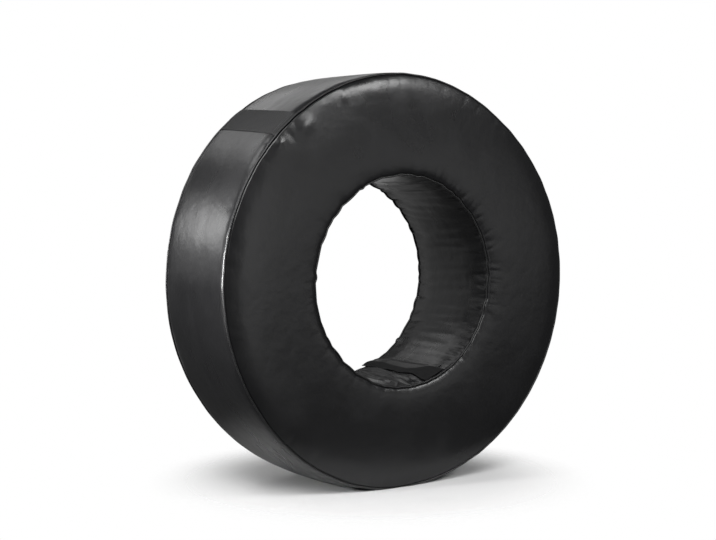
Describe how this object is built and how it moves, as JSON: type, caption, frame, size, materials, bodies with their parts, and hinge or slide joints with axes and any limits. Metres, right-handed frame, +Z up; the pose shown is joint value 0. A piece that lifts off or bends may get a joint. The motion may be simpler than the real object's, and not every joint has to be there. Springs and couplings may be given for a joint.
{
  "type": "tackling wheel",
  "caption": "Foam ring in a sewn black vinyl cover, standing on its tread, with piped seams, a webbing carry handle and a hook-and-loop flap in the bore.",
  "frame": {"origin": "centre of the wheel, on its axis and midway between its two faces", "axes": "+Y along the wheel's axis, from the front face towards the rear face; +Z up as it stands on its tread; +X to the right seen from the front"},
  "size_m": [1.0146, 0.305, 1.0146],
  "materials": {
    "black_vinyl": "satin coated vinyl",
    "piping_vinyl": "satin coated vinyl",
    "webbing": "matte woven",
    "hook_and_loop": "matte brushed",
    "thread": "twisted thread",
    "firm_foam": "matte closed-cell foam",
    "soft_foam": "matte open-cell foam"
  },
  "bodies": {
    "wheel": {"core_slab_1": "firm_foam", "core_slab_2": "firm_foam", "core_slab_3": "firm_foam", "core_slab_4": "firm_foam", "core_slab_5": "firm_foam", "front_face_pad": "soft_foam", "rear_face_pad": "soft_foam", "tread_pad": "soft_foam", "bore_pad": "soft_foam", "front_face_cover": "black_vinyl", "rear_face_cover": "black_vinyl", "tread_cover": "black_vinyl", "bore_cover": "black_vinyl", "front_outer_piping": "piping_vinyl", "front_bore_piping": "piping_vinyl", "rear_outer_piping": "piping_vinyl", "rear_bore_piping": "piping_vinyl", "handle_front_tail": "webbing", "handle_rear_tail": "webbing", "handle_front_stitching": "thread", "handle_rear_stitching": "thread", "closure_hem": "black_vinyl", "closure_loop_tape": "hook_and_loop", "closure_stitching": "thread"},
    "handle_front": {"handle_front_half": "webbing"},
    "handle_rear": {"handle_rear_half": "webbing"},
    "flap": {"closure_flap": "black_vinyl", "closure_hook_tape": "hook_and_loop"}
  },
  "joints": [
    {"name": "handle_lift", "type": "hinge", "parent": "wheel", "child": "handle_front", "pos_m": [-0.33921, -0.129, 0.37487], "axis": [0.757, 0, 0.6534], "range_deg": [0, 12]},
    {"name": "handle_crease", "type": "hinge", "parent": "handle_front", "child": "handle_rear", "pos_m": [-0.3322, 0, 0.38486], "axis": [0.757, 0, 0.6534], "range_deg": [-23.4, 0]},
    {"name": "flap_hinge", "type": "hinge", "parent": "wheel", "child": "flap", "pos_m": [0.12268, 0, -0.22012], "axis": [0, 1, 0], "range_deg": [0, 150]}
  ],
  "couplings": [
    {"joint": "handle_crease", "follows": "handle_lift", "ratio": -1.95}
  ]
}
